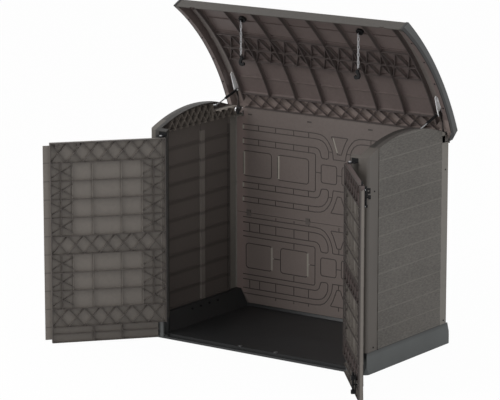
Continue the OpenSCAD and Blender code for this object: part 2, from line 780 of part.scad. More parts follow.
// dark cap over a lid end: top flange, end plate and front return
module lid_trim() {
    top_w = 12;
    top_t = 3;
    along_x(lid_w / 2 - trim_t, lid_w / 2) {
        end_area(lid_y0, lid_y1, 0);
        polygon([[lid_y1 - 36, skirt_edge(lid_y1 - 36) - 1], [lid_y1 - 14, skirt_z - 26],
            [lid_y1 + 3, skirt_z + 3], [lid_y1, lid_edge_h], [lid_y1 - 20, lid_edge_h]]);
        lid_band(lid_y0, lid_y1, -top_t, 1);
    }
    along_x(lid_w / 2 - top_w, lid_w / 2) {
        lid_band(lid_y0, lid_y1, -top_t, -fit_gap);
        polygon([[lid_y0, lid_edge_h + top_t], [lid_y0 - top_t, lid_edge_h],
            [lid_y0 - lid_lip_lean - top_t, skirt_z], [lid_y0 - lid_lip_lean - fit_gap, skirt_z],
            [lid_y0 - fit_gap, lid_edge_h], [lid_y0, lid_edge_h + fit_gap]]);
    }
}

module left_lid_trim() color(trim_grey) opened() mirrored() lid_trim();
module right_lid_trim() color(trim_grey) opened() lid_trim();

// screws along the flange of each skirt, square to its arc
module trim_screws() color(fitting_black) opened()
    for (s = [-1, 1], i = [0:3])
        translate([s * (skirt_x + 13), lid_cy, skirt_cz])
            rotate([asin((lid_cy - y_front - (0.127 + 0.2114 * i) * wall_d) / skirt_r), 0, 0])
                translate([0, 0, skirt_r - fit_gap - 2.5]) cylinder(d = 8, h = 2.5);

// black arm from the lid's bracket to the hinge pin
module lid_arm() {
    arm_t = 3;
    reach = 16;
    difference() {
        union() {
            translate([arm_x, piv_y, lid_pivot_z]) rotate([0, 90, 0]) cylinder(r = 10, h = arm_t);
            // the lower edge bends to clear the end of the wall's ledge
            along_x(arm_x, arm_x + arm_t) polygon([[piv_y - 8, lid_pivot_z - 5],
                [piv_y + 5, lid_pivot_z + 8], [top_y + 20, top_z + 16], [top_y - reach, top_z + 20],
                [top_y - reach, top_z - 2], [side_y1 + 6, recess_z + 4]]);
        }
        translate([arm_x - eps, piv_y, lid_pivot_z]) rotate([0, 90, 0])
            cylinder(d = lid_pin_d + 2 * pin_gap, h = arm_t + 2 * eps);
    }
}

module left_lid_arm() color(fitting_black) opened() mirrored() lid_arm();
module right_lid_arm() color(fitting_black) opened() lid_arm();

// steel bracket under the lid with the strut's upper pin
module strut_bracket() {
    foot_y = top_y - 104;
    x1 = arm_x - fit_gap;
    along_x(x1 - 3, x1) intersection() {
        polygon([[foot_y, lid_hi], [foot_y, lid_z(foot_y) - 26], [top_y - 10, top_z - 9],
            [top_y + 9, top_z - 9], [top_y + 12, lid_hi]]);
        lid_area(foot_y - 20, top_y + 40, lid_lo, skin_t + 1);
    }
    // foot against the lid's skin
    along_x(x1 - 3, x1 + 14) lid_band(foot_y, top_y - 20, skin_t + 1, skin_t + 4);
    translate([strut_x - eye_w / 2 - 2, top_y, top_z]) rotate([0, 90, 0]) {
        cylinder(d = strut_pin_d, h = x1 - strut_x + eye_w / 2 + 2);
        cylinder(d = strut_pin_d + 4, h = 2 - fit_gap);
    }
}

module left_strut_bracket() color(steel) opened() mirrored() strut_bracket();
module right_strut_bracket() color(steel) opened() strut_bracket();

// what lies along the open strut, from its upper pin at the origin along +X
module along_strut() {
    translate([strut_x, strut_y, strut_z]) rotate([strut_dir, 0, 0]) rotate([0, 0, 90]) children();
}

module strut_tube() {
    along_strut() {
        difference() {
            union() {
                rotate([90, 0, 0]) translate([0, 0, -eye_w / 2]) cylinder(d = 15, h = eye_w);
                translate([5, 0, 0]) rotate([0, 90, 0]) cylinder(d = strut_rod_d, h = tube_start - 4);
                translate([tube_start, 0, 0]) rotate([0, 90, 0]) cylinder(d = strut_tube_d, h = strut_tube_l);
            }
            rotate([90, 0, 0]) translate([0, 0, -eye_w])
                cylinder(d = strut_pin_d + 2 * pin_gap, h = 2 * eye_w);
            translate([tube_start + 3, 0, 0]) rotate([0, 90, 0])
                cylinder(d = strut_rod_d + 2 * pin_gap, h = strut_tube_l);
        }
    }
}

module left_strut_tube() color(fitting_black) mirrored() strut_tube();
module right_strut_tube() color(fitting_black) strut_tube();

module strut_rod() {
    shut_len = norm([top_y - stud_y, top_z - strut_stud_z]);
    rod_start = strut_len - (shut_len - tube_start - 5);
    along_strut() {
        translate([rod_start, 0, 0]) rotate([0, 90, 0])
            cylinder(d = strut_rod_d, h = strut_len - eye_w / 2 - 1 - rod_start);
        difference() {
            rotate([90, 0, 0]) translate([strut_len, 0, -eye_w / 2]) cylinder(d = 13, h = eye_w);
            rotate([90, 0, 0]) translate([strut_len, 0, -eye_w]) cylinder(d = stud_d, h = 2 * eye_w);
        }
    }
}

module left_strut_rod() color(steel) mirrored() strut_rod();
module right_strut_rod() color(steel) strut_rod();

anchor_d = 42;

// boss under the lid; two cheeks hold the pin that carries a chain
module chain_anchor() {
    y = y_front + chain_y;
    cheek_x = link_wire / 2 + 1.2;
    cheek_t = 3;
    cheek_r = 6;
    pin_l = 2 * (cheek_x + cheek_t);
    translate([chain_x, 0, 0]) {
        intersection() {
            translate([0, y, anchor_z - anchor_drop + 10]) cylinder(d = anchor_d, h = 60);
            along_x(-anchor_d, anchor_d) lid_area(y - anchor_d, y + anchor_d, lid_lo, skin_t + 1);
        }
        for (x = [-cheek_x - cheek_t, cheek_x]) {
            translate([x, y, anchor_z - anchor_drop]) rotate([0, 90, 0]) cylinder(r = cheek_r, h = cheek_t);
            block([x, y - cheek_r, anchor_z - anchor_drop],
                [x + cheek_t, y + cheek_r, anchor_z - anchor_drop + 11]);
        }
        translate([-pin_l / 2, y, anchor_z - anchor_drop]) rotate([0, 90, 0])
            cylinder(d = chain_pin_d, h = pin_l);
    }
}

module left_chain_anchor() color(fitting_black) opened() mirrored() chain_anchor();
module right_chain_anchor() color(fitting_black) opened() chain_anchor();

// one oval link, its long way along Z
module chain_link() {
    w = link_wire;
    r = w * 1.35;
    s = link_in / 2 - r + w / 2;
    for (m = [0, 1]) mirror([0, 0, m]) translate([0, 0, s]) rotate([90, 0, 0])
        rotate_extrude(angle = 180, $fn = 32) translate([r, 0]) circle(d = w, $fn = 24);
    for (x = [-r, r]) translate([x, 0, -s]) cylinder(d = w, h = 2 * s, $fn = 24);
}

// the chain hangs plumb from its eye
module chain()
    translate([chain_x, eye_y, eye_z - first_link])
        for (i = [0 : link_count - 1])
            translate([0, 0, -i * link_pitch]) rotate([0, 0, 90 * ((i + 1) % 2)]) chain_link();

module left_chain() color(steel) mirrored() chain();
module right_chain() color(steel) chain();

// open hook at the end of a chain, for the lid of a bin
module hook() {
    wire = 4;
    bend_r = 9;
    shank_l = 28;
    eye_ring_r = 7.5;
    eye_wire = 3.6;
    z_last = eye_z - first_link - link_pitch * (link_count - 1);
    translate([chain_x, eye_y, z_last - link_in / 2 - eye_ring_r + eye_wire / 2 + fit_gap])
        rotate([0, 0, 90 * ((link_count + 1) % 2)]) rotate([90, 0, 0]) {
            rotate_extrude() translate([eye_ring_r, 0]) circle(d = eye_wire, $fn = 24);
            translate([0, -eye_ring_r, 0]) rotate([90, 0, 0])
                cylinder(d = wire - 0.2, h = shank_l + 1, $fn = 24);
            translate([-bend_r, -eye_ring_r - shank_l, 0]) rotate([0, 0, -215])
                rotate_extrude(angle = 215) translate([bend_r, 0]) circle(d = wire, $fn = 24);
        }
}

module left_hook() color(fitting_black) mirrored() hook();
module right_hook() color(fitting_black) hook();

// places of the door's uprights, measured from its outer end, and the rows of boards that have them
upright_s = [0.1056, 0.2011, 0.3826, 0.6326, 0.8078, 0.9065] * door_end;
upright_rows = [[2, 5], [6, 10]] * board_h;

// a shut right-hand door from free_x to its outer end: skin, edge walls, ribs and hinge barrel
module door_body(free_x) {
    difference() {
        union() {
            block([free_x, door_y0, door_bottom], [door_end, door_y0 + skin_t, door_top]);
            for (x = [free_x, door_end - skin_t])
                block([x, door_y0, door_bottom], [x + skin_t, door_y1, door_top]);
            for (z = [door_bottom, door_top - skin_t])
                block([free_x, door_y0, z], [door_end, door_y1, z + skin_t]);
            for (z = [board_h : board_h : door_top - board_h])
                block([free_x, door_y0 + 1, z - door_rib / 2], [door_end - 1, door_y1, z + door_rib / 2]);
            block([free_x, door_y0 + 1, 0.6 * board_h], [door_end - 1, door_y1, 0.6 * board_h + door_rib]);
            // between the bands of crossed ribs there are uprights; those beside the pads are lower
            for (i = [0:5], row = upright_rows)
                if (door_end - upright_s[i] > free_x + skin_t)
                    block([door_end - upright_s[i] - door_rib / 2, door_y0 + 1, row[0]],
                        [door_end - upright_s[i] + door_rib / 2, door_y1 - (i > 0 && i < 5 ? 8 : 0), row[1]]);
            for (i = [2, 3])
                block([door_end - upright_s[i] - door_rib / 2, door_y0 + 1, door_bottom + 1],
                    [door_end - upright_s[i] + door_rib / 2, door_y1, board_h]);
            translate([door_pivot_x, pivot_y, door_bottom])
                cylinder(r = barrel_r, h = door_top - door_bottom);
        }
        // notch over the turret
        block([door_pivot_x - 22, pivot_y - barrel_r - eps, door_bottom - eps],
            [door_end + eps, door_y1 + eps, turret_z + 1]);
        // bores for the lower and the upper pin
        for (bore = [[turret_z, 36], [door_top - 45, 46]])
            translate([door_pivot_x, pivot_y, bore[0]]) cylinder(d = door_pin_d + 2 * pin_gap, h = bore[1]);
    }
}

// places a shut door at its open angle
module door_pose(angle) {
    translate([door_pivot_x, pivot_y, 0]) rotate([0, 0, angle])
        translate([-door_pivot_x, -pivot_y, 0]) children();
}

// the left door carries the lap over the joint
module left_door() color(shell_brown) mirrored() door_pose(door_open) {
    door_body(1);
    block([-door_lap + 1, door_y0, door_bottom + lap_step], [4, door_y0 + skin_t + 1, door_top - lap_step]);
}

// small keepers at the top of the left door's inner face
module door_keepers() color(shell_brown) mirrored() door_pose(door_open)
    for (s = [0.755, 0.9416] * door_end)
        translate([door_end - s, door_y1, door_top - skin_t - fit_gap]) {
            block([-9, -12, -22], [9, 0, 0]);
            block([-9, 0, -22], [9, 5, -12]);
        }

// the right door has the rebate under the lap, and room for its latches
module right_door() color(shell_brown) door_pose(door_open) {
    rebate_y = door_y0 + skin_t + 2.5;
    difference() {
        union() {
            door_body(door_lap + 3);
            block([1, rebate_y, door_bottom + lap_step],
                [door_lap + 4, rebate_y + skin_t, door_top - lap_step]);
            block([1, rebate_y, door_bottom + lap_step], [1 + skin_t, door_y1, door_top - lap_step]);
            for (z = [board_h : board_h : door_top - board_h])
                block([2, rebate_y + 1, z - door_rib / 2], [door_lap + 4, door_y1, z + door_rib / 2]);
        }
        // notch for the latch's tongue
        block([latch_x - 10, door_y0 - eps, door_top - latch_travel - 18],
            [latch_x + 10, door_y1 + eps, door_top + eps]);
        // slot for the bottom bolt's grip
        block([bolt_x - 6, door_y0 - eps, bolt_grip_z - bolt_travel - 6],
            [bolt_x + 6, door_y1 + eps, bolt_grip_z + 6]);
    }
}

// plate with two loops for the sliding bar, and an eye for a padlock
module latch_body() color(fitting_black) door_pose(door_open) {
    lug_x = latch_x + 18;
    difference() {
        union() {
            block([latch_x - 19, door_y0 - 3, latch_z], [latch_x + 22, door_y0, latch_z + 96]);
            for (z = latch_loop_z)
                block([latch_x - 10, latch_y - 9, latch_z + z],
                    [latch_x + 10, door_y0 - 2, latch_z + z + latch_loop_h]);
            block([lug_x, latch_y - 26, latch_z + lug_z], [lug_x + 4, door_y0 - 2, latch_z + lug_z + lug_h]);
        }
        // slot for the sliding bar's arm
        block([latch_x - 8, door_y0 - 3 - eps, latch_arm_z - latch_travel - 2],
            [latch_x + 8, door_y0 + eps, latch_z + 96 + eps]);
        translate([latch_x, latch_y, latch_z - eps])
            cylinder(d = latch_bar_d + 2 * pin_gap, h = 110);
        translate([lug_x - eps, latch_y - 16, latch_z + lug_z + lug_h / 2]) rotate([0, 90, 0])
            cylinder(d = padlock_d, h = 4 + 2 * eps);
    }
}

module latch_screws() color(steel) door_pose(door_open)
    for (x = [latch_x - 14.5, latch_x + 14.5], z = [latch_z + 6, latch_z + 90])
        translate([x, door_y0 - 3, z]) rotate([90, 0, 0]) cylinder(d = 7, h = 2);

// sliding bar with its round grip and the tongue that rises behind the lid's lip
module latch_bar() color(fitting_black) door_pose(door_open) {
    tongue_y = door_y0 + 14;
    translate([latch_x, latch_y, latch_z + 2]) cylinder(d = latch_bar_d, h = latch_arm_z + 2 - latch_z);
    translate([latch_x, latch_y, latch_z + latch_grip_z]) rotate([90, 0, 0]) {
        cylinder(d = 8, h = 14);
        translate([0, 0, 12]) cylinder(d = 22, h = 12);
    }
    block([latch_x - 6, latch_y - 5, latch_arm_z], [latch_x + 6, tongue_y, latch_arm_z + 8]);
    block([latch_x - 6, tongue_y - 8, latch_arm_z + 1], [latch_x + 6, tongue_y, door_top + 20]);
}

// plate with two guides on the door's inner face
module bolt_housing() color(fitting_black) door_pose(door_open) {
    difference() {
        union() {
            block([bolt_x - 14, door_y1, housing_z], [bolt_x + 14, door_y1 + 3, guide_z + guide_h + 6]);
            for (z = [housing_z, guide_z])
                block([bolt_x - 11, door_y1 + 2, z], [bolt_x + 11, bolt_y + 9, z + guide_h]);
        }
        block([bolt_x - 6, door_y1 - eps, bolt_grip_z - bolt_travel - 6],
            [bolt_x + 6, door_y1 + 4, bolt_grip_z + 6]);
        translate([bolt_x, bolt_y, 0]) cylinder(d = bolt_d + 2 * pin_gap, h = 2 * bolt_top_z);
    }
}

// sliding bolt with a grip that passes through the door
module bottom_bolt() color(fitting_black) door_pose(door_open) {
    translate([bolt_x, bolt_y, bolt_rest_z]) cylinder(d = bolt_d, h = bolt_top_z - bolt_rest_z);
    translate([bolt_x, bolt_y, bolt_grip_z]) rotate([90, 0, 0]) {
        cylinder(d = 8, h = bolt_y - door_y0 + 6);
        translate([0, 0, bolt_y - door_y0 + 2]) cylinder(d = 20, h = 10);
    }
}

base_tray();
sill_sockets();
rail_screws();
left_side_wall();
right_side_wall();
left_front_post();
right_front_post();
left_rear_post();
right_rear_post();
back_panel_lower();
back_panel_upper();
panel_clips();
post_screws();
left_door_bracket();
right_door_bracket();
left_top_pin();
right_top_pin();
left_hinge_foot();
right_hinge_foot();
left_lid_hinge();
right_lid_hinge();
left_hinge_pin();
right_hinge_pin();
left_strut_stud();
right_strut_stud();
lid_panel();
left_lid_trim();
right_lid_trim();
trim_screws();
left_lid_arm();
right_lid_arm();
left_strut_bracket();
right_strut_bracket();
left_chain_anchor();
right_chain_anchor();
left_chain();
right_chain();
left_hook();
right_hook();
left_strut_tube();
right_strut_tube();
left_strut_rod();
right_strut_rod();
left_door();
door_keepers();
right_door();
latch_body();
latch_screws();
latch_bar();
bolt_housing();
bottom_bolt();
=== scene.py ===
import bpy, bmesh
from math import radians, sin, cos, sqrt
from mathutils import Matrix, Vector


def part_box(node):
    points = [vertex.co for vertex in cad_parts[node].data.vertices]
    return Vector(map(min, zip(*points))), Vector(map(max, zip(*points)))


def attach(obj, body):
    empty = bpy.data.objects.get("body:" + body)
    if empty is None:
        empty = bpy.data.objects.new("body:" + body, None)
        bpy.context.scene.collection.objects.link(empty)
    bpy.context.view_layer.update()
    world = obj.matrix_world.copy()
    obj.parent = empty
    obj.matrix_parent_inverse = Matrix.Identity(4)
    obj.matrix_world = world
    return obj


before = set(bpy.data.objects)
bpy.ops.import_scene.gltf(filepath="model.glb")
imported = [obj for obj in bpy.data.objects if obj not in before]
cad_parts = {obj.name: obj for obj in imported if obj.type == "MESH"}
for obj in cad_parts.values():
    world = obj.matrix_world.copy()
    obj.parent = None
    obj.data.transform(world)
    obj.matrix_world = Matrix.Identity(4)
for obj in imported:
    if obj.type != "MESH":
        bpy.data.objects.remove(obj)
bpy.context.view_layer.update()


# Tray: one deep moulding of dark recycled plastic, with a floor, two side rails and a low sill.
# Its face carries the fine spark-eroded grain of its mould; its faces inside are painted much darker than
# those outside, as painted shade.
class Tone:
    """One socket of a finish, so that its pattern is written as sums and products."""

    def __init__(self, tree, socket=None):
        self.tree, self.socket = tree, socket

    def node(self, kind, settings=(), values=(), out=0):
        """Makes any other node and gives one of its outputs."""
        made = self.tree.nodes.new("ShaderNode" + kind)
        for name, value in dict(settings).items():
            setattr(made, name, value)
        for name, value in dict(values).items():
            if isinstance(value, Tone):
                self.tree.links.new(value.socket, made.inputs[name])
            else:
                made.inputs[name].default_value = value
        return Tone(self.tree, made.outputs[out])

    def maths(self, operation, first, second=0):
        return self.node("Math", {"operation": operation}, {0: first, 1: second})

    def __add__(self, other):
        return self.maths("ADD", self, other)

    def __sub__(self, other):
        return self.maths("SUBTRACT", self, other)

    def __rsub__(self, other):
        return self.maths("SUBTRACT", other, self)

    def __mul__(self, other):
        return self.maths("MULTIPLY", self, other)

    __radd__, __rmul__ = __add__, __mul__

    def size(self):
        return self.maths("ABSOLUTE", self)

    def fraction(self):
        return self.maths("FRACT", self)

    def from_marks(self, pitch):
        """How far this is from the nearest multiple of the pitch, as a share of the pitch."""
        return ((self * (1 / pitch) + 0.5).fraction() - 0.5).size()

    def over(self, low, high):
        """Runs from 0 to 1 as this runs from low to high."""
        return self.node("MapRange", {"clamp": True},
                         {"Value": self, "From Min": low, "From Max": high})

    def within(self, low, high, fade):
        """Is 1 between low and high and 0 outside, with a short fade inside both ends."""
        return self.over(low, low + fade) * self.over(high, high - fade)

    def between(self, first, second):
        """The colour that lies this far from the first to the second."""
        return self.node("Mix", {"data_type": "RGBA"}, {0: self, 6: first, 7: second}, 2)

    def scaled(self, scale):
        return self.node("Mapping", (), {"Vector": self, "Scale": scale})

    def speckle(self, scale, detail=3.0):
        return self.node("TexNoise", (), {"Vector": self, "Scale": scale, "Detail": detail}, "Fac")


def paint(red, green, blue):
    """A colour as it is seen, from its values out of 255."""
    return (*(((v / 255 + 0.055) / 1.055) ** 2.4 for v in (red, green, blue)), 1)


class Finish:
    """A finish for one kind of piece; colour, gloss and relief are set on its shader."""

    def __init__(self, name, roughness, metallic=0.0):
        self.material = bpy.data.materials.new(name)
        self.material.use_nodes = True
        self.tree = self.material.node_tree
        self.shader = self.tree.nodes["Principled BSDF"]
        self.shader.inputs["Roughness"].default_value = roughness
        self.shader.inputs["Metallic"].default_value = metallic
        self.place = Tone(self.tree).node("TexCoord", out="Object")

    def along(self, axis):
        """The place along X, Y or Z, in metres."""
        return self.place.node("SeparateXYZ", (), {0: self.place}, axis)

    def from_line(self, y, z):
        """The distance from a line that runs along X."""
        depth, height = self.along("Y") - y, self.along("Z") - z
        squared = depth * depth + height * height
        return squared.maths("SQRT", squared)

    def set(self, name, tone):
        self.tree.links.new(tone.socket, self.shader.inputs[name])

    def colour(self, mask, first, second):
        """The base colour, mixed from two by the mask."""
        self.set("Base Color", mask.between(paint(*first), paint(*second)))

    def cover(self, mask, shade):
        """Lays one more colour over the base colour, where the mask is 1."""
        under = Tone(self.tree, self.shader.inputs["Base Color"].links[0].from_socket)
        self.set("Base Color", mask.between(under, paint(*shade)))

    def relief(self, height, strength, depth):
        values = {"Strength": strength, "Distance": depth, "Height": height}
        self.set("Normal", self.place.node("Bump", (), values, "Normal"))


def dress(made, *nodes):
    """Gives CAD nodes a finish."""
    for name in nodes:
        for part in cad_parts[name].material_slots:
            part.material = made.material


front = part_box("right_front_post")[0][1]
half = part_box("right_side_wall")[1][0]  # from the middle to the walls' outer faces
corner_x = 0.57  # where the tray's front corners start, beside the sill
tray_face = front - 0.007

tray_black = Finish("tray_black", 0.5)
grain = tray_black.place.speckle(420, 2)
patches = tray_black.place.speckle(3.2, 4)
across, depth = tray_black.along("X").size(), tray_black.along("Y")
outside = across.over(half, half + 0.005)
outside = outside + across.over(corner_x, corner_x + 0.03) * depth.over(tray_face, tray_face - 0.005)
# painted shade: the faces inside are near black
inner_painted_shade = patches.over(0.35, 0.7).between(paint(22, 23, 24), paint(29, 30, 31))
outer_shade = patches.over(0.35, 0.7).between(paint(68, 71, 71), paint(82, 85, 85))
tray_black.set("Base Color", outside.over(0, 1).between(inner_painted_shade, outer_shade))
tray_black.set("Roughness", patches * 0.16 + 0.40)
tray_black.relief(grain, 0.3, 0.0006)
dress(tray_black, "base_tray")
tray_grey = Finish("tray_grey", 0.5)
tray_grey.colour(tray_grey.place.speckle(6, 4).over(0.35, 0.7), (80, 82, 82), (94, 96, 96))
dress(tray_grey, "left_hinge_foot", "right_hinge_foot")


# Side walls: arched mouldings in brown-grey plastic, with lapped boards outside and ribs inside.
# They stand in the tray's rails and are screwed through them; the boards carry a fine wood grain.
def boards_finish(name, turn=(0, 0, 0), stretch=(90, 45, 150), outer=(96, 92, 87), deep=(58, 55, 51)):
    """Wood-grained plastic; turn and stretch lay the grain along the boards."""
    made = Finish(name, 0.6)
    laid = made.place.node("Mapping", {"vector_type": "TEXTURE"}, {"Vector": made.place, "Rotation": turn})
    fibre = laid.scaled(stretch).speckle(1.0, 6)
    blot = laid.scaled((5, 2, 5)).speckle(1.0, 3)
    made.colour((fibre * 0.7 + blot * 0.3).over(0.3, 0.7), deep, outer)
    made.set("Roughness", fibre * 0.2 + 0.48)
    made.relief(fibre, 0.55, 0.0016)
    return made


def even_finish(name, outer, deep):
    """The same plastic where its grain runs no one way."""
    return boards_finish(name, stretch=(60, 60, 60), outer=outer, deep=deep)


board_h, board_gap = 0.1, 0.0006
# rim_x is the face of the wall's rim that looks inwards, first_board the foot of the lowest board
(rim_x, wall_front, first_board), (_, wall_rear, wall_top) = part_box("right_side_wall")


def lined(made, first):
    """Paints a highlight along the proud lower edge of each board, and marks the dark joint at the foot of
    the first.
    """
    height = made.along("Z")
    # a painted highlight along each board's proud lower edge
    edge = ((height - first) * (1 / board_h)).fraction().over(0.085, 0.03)
    made.cover(edge * 0.4, (112, 108, 102))
    made.cover(height.over(first + 0.005, first + 0.003), (40, 38, 36))


def board_rows(count, first, top, lowest=0):
    """The lower and upper edge of each board, cut off at the top and the lowest height."""
    feet = [first + board_h * k for k in range(count)]
    return [(max(foot, lowest), min(foot + board_h - board_gap, top)) for foot in feet]


def bar(bm, start, end, wide, deep, face):
    """A straight bar from start to end; its depth runs along face, centred on the line."""
    start, end, face = Vector(start), Vector(end), Vector(face).normalized()
    along = end - start
    side = face.cross(along).normalized() * wide
    turn = Matrix((along, side, face * deep)).transposed().to_4x4()
    made = bmesh.ops.create_cube(bm, size=1.0, matrix=Matrix.Translation((start + end) / 2) @ turn)
    return made["verts"]


def mould(name, bm, finish, body):
    """Makes the finished piece and lets it ride on its body."""
    bmesh.ops.recalc_face_normals(bm, faces=bm.faces)
    mesh = bpy.data.meshes.new(name)
    bm.to_mesh(mesh)
    bm.free()
    made = bpy.data.objects.new(name, mesh)
    bpy.context.collection.objects.link(made)
    mesh.materials.append(finish.material)
    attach(made, body)
    return made


def lapped_board(bm, start, end, row, out, proud, thin=0.0012):
    """A board between two places in plan; it stands proud at its lower edge and thins upwards."""
    low, high = row
    out = Vector(out)
    start, end = (Vector((*place, (low + high) / 2)) for place in (start, end))
    middle = (start + end) / 2
    for v in bar(bm, start + out * proud / 2, end + out * proud / 2, high - low, proud, out):
        if v.co.z > middle.z and (v.co - middle).dot(out) > proud / 2:
            v.co -= out * (proud - thin)


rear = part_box("right_rear_post")[1][1]
arch_r = 0.96028  # the arch of the walls' tops
arch_y, arch_z = (front + rear) / 2, wall_top - arch_r
arch_low = 1.065  # the lower end of the crossed ribs under the arch
upright_near, upright_far = 0.0485, 0.0875
shade_y = 0.306  # the shade beside the rear post starts here
crown_x = 0.672  # the darker painted shade on the inner half of the arch's crown ends here
ledge_y, ledge_low, ledge_top = 0.130, 1.157, 1.182

shell_inside = even_finish("shell_inside", (84, 77, 73), (76, 70, 66))
shell_boards = boards_finish("shell_boards")
dress(shell_inside, "back_panel_lower", "back_panel_upper", "panel_clips")
lined(shell_boards, first_board)

wall_inside = even_finish("wall_inside", (84, 77, 73), (76, 70, 66))
across, depth, height = wall_inside.along("X").size(), wall_inside.along("Y"), wall_inside.along("Z")
below = height.over(arch_low + 0.001, arch_low - 0.001)
rib_side = across.over(rim_x + 0.024, rim_x + 0.012)
arch = wall_inside.from_line(arch_y, arch_z)
# a pale upright, painted shade under each board's lap seen from inside, and painted shade beside the rear
# post
wall_inside.cover(depth.within(upright_near, upright_far, 0.001) * below, (104, 98, 93))
lap_shade = height.from_marks(board_h).over(0.13, 0.04) * 0.55
shade = depth.over(shade_y, shade_y + 0.004) * 0.7
wall_inside.cover(((lap_shade + shade) * below).over(0, 1), (52, 47, 44))
# painted highlights on the crossed ribs' edges and on the ledge under the strut's recess, and painted
# shade on the arch's crown and its inner rim
painted_rib_edges = height.over(arch_low - 0.020, arch_low - 0.010) * arch.over(arch_r - 0.005, arch_r - 0.009)
wall_inside.cover(rib_side * painted_rib_edges, (100, 93, 86))
crown = arch.over(arch_r - 0.003, arch_r - 0.001)
wall_inside.cover(crown, (66, 62, 59))
wall_inside.cover(crown * across.over(crown_x + 0.006, crown_x), (40, 37, 34))
inner_rim_shade = across.over(rim_x + 0.008, rim_x + 0.005) * arch.over(arch_r - 0.013, arch_r - 0.009)
wall_inside.cover(inner_rim_shade, (50, 46, 43))
ledge = rib_side * depth.over(ledge_y, ledge_y + 0.004) * height.within(ledge_low, ledge_top, 0.002)
wall_inside.cover(ledge, (174, 166, 157))
dress(wall_inside, "left_side_wall", "right_side_wall")

short = 0.001  # the boards stop this far from the posts
siding_top = wall_top + 0.014  # above the arch, which cuts the boards
arch_steps, arch_step = 12, 2.1  # facets each way from the top of the arch, and degrees for each
for side, name in ((-1, "left"), (1, "right")):
    bm = bmesh.new()
    start, end = (side * half, wall_front + short), (side * half, wall_rear - short)
    for row in board_rows(12, first_board, siding_top):
        lapped_board(bm, start, end, row, (side, 0, 0), proud=0.0034)
    for i in range(-arch_steps, arch_steps + 1):
        angle = radians(arch_step * i)
        out = Vector((0, sin(angle), cos(angle)))
        edge = Vector((0, arch_y, arch_z)) + out * (arch_r - 0.002)
        everything = bm.verts[:] + bm.edges[:] + bm.faces[:]
        bmesh.ops.bisect_plane(bm, geom=everything, plane_co=edge, plane_no=out, clear_outer=True)
        bmesh.ops.holes_fill(bm, edges=[e for e in bm.edges if e.is_boundary], sides=0)
    mould(name + "_wall_boards", bm, shell_boards, "base")

rear_boards = boards_finish("rear_boards", stretch=(45, 90, 150), outer=(98, 94, 89), deep=(60, 57, 53))
lined(rear_boards, first_board)
panel_half, panel_back, panel_top = 0.634, 0.3948, 1.132
bm = bmesh.new()
for row in board_rows(11, first_board, panel_top):
    lapped_board(bm, (-panel_half, panel_back), (panel_half, panel_back), row, (0, 1, 0), proud=0.0032)
mould("rear_boards", bm, rear_boards, "base")


# Posts: rounded hollow corner posts in the same plastic, smooth between the grained boards.
# The front ones carry the doors and the rear ones the lid; both are screwed to the tray.
shell_smooth = Finish("shell_smooth", 0.55)
mottle = shell_smooth.place.speckle(260, 3)
worn = shell_smooth.place.scaled((2, 2, 1)).speckle(2.0, 4)
shell_smooth.colour(worn.over(0.3, 0.7), (76, 71, 67), (86, 81, 76))
shell_smooth.set("Roughness", mottle * 0.15 + 0.47)
shell_smooth.relief(mottle, 0.25, 0.0006)
dress(shell_smooth, "right_front_post")
# painted light: the rear posts are a paler copy of the same plastic
post_painted_light = even_finish("post_painted_light", (116, 112, 106), (106, 102, 96))
dress(post_painted_light, "left_rear_post", "right_rear_post")
post_shade = even_finish("post_shade", (92, 88, 82), (84, 79, 74))
# painted shade on the left front post's inner flange, behind the open door
post_shade.cover(post_shade.along("X").over(-0.668, -0.660), (42, 40, 37))
dress(post_shade, "left_front_post")

# covers that close the gaps round the lid's hinges, behind them and at their outer side
cover_y, cover_low, cover_t = 0.3981, 1.098, 0.0012
side_y, side_low, side_top, side_l, side_t = 0.355, 1.108, 1.146, 0.062, 0.0022
bm = bmesh.new()
for hand in (-1, 1):
    for x, wide, top in ((0.6470, 0.0165, 1.134), (0.677, 0.041, 1.157), (0.7000, 0.005, 1.134)):
        bar(bm, (hand * x, cover_y, cover_low), (hand * x, cover_y, top), wide, cover_t, (0, 1, 0))
    side_x = hand * (half - side_t / 2)
    bar(bm, (side_x, side_y, side_low), (side_x, side_y, side_top), side_t, side_l, (0, 1, 0))
mould("hinge_backs", bm, shell_inside, "base")


# Back wall: two panels clipped together, their inner face moulded with a brick and loop relief.
# Fine grooves part the raised fields; some fields have one sloped edge, painted paler as a highlight.
panel_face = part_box("back_panel_lower")[0][1]
relief_t = 0.0026
shift = 0.008  # the pattern's middle lies a little to the right of the wall's


def groove(bm, points, width=0.0052, depth=0.0021):
    """Cutters along points, in millimetres from the pattern's middle and the ground, on both hands."""
    proud = 0.001  # they stand out of the face, so that the cut is clean
    y = panel_face - relief_t + depth / 2 - proud / 2
    for hand in (1, -1):
        spots = [Vector((hand * x / 1000 + shift, y, z / 1000)) for x, z in points]
        for start, end in zip(spots, spots[1:]):
            bar(bm, start, end, width, depth + proud, (0, 1, 0))


def mirrored_groove(bm, points, middle):
    """The same along points and along their mirror image about the height of the middle."""
    groove(bm, points)
    groove(bm, [(x, 2 * middle - z) for x, z in points])


def rounded(x0, x1, z0, z1, r):
    """A closed outline with rounded corners."""
    cut = 0.3 * r
    return [(x0, z0 + r), (x0, z1 - r), (x0 + cut, z1 - cut), (x0 + r, z1),
            (x1 - r, z1), (x1 - cut, z1 - cut), (x1, z1 - r), (x1, z0 + r),
            (x1 - cut, z0 + cut), (x1 - r, z0), (x0 + r, z0), (x0 + cut, z0 + cut), (x0, z0 + r)]


def extruded(bm, corners, move):
    """Raises a flat outline into a plate."""
    face = bm.faces.new([bm.verts.new(corner) for corner in corners])
    grown = bmesh.ops.extrude_face_region(bm, geom=[face])
    moved = [g for g in grown["geom"] if isinstance(g, bmesh.types.BMVert)]
    bmesh.ops.translate(bm, verts=moved, vec=move)


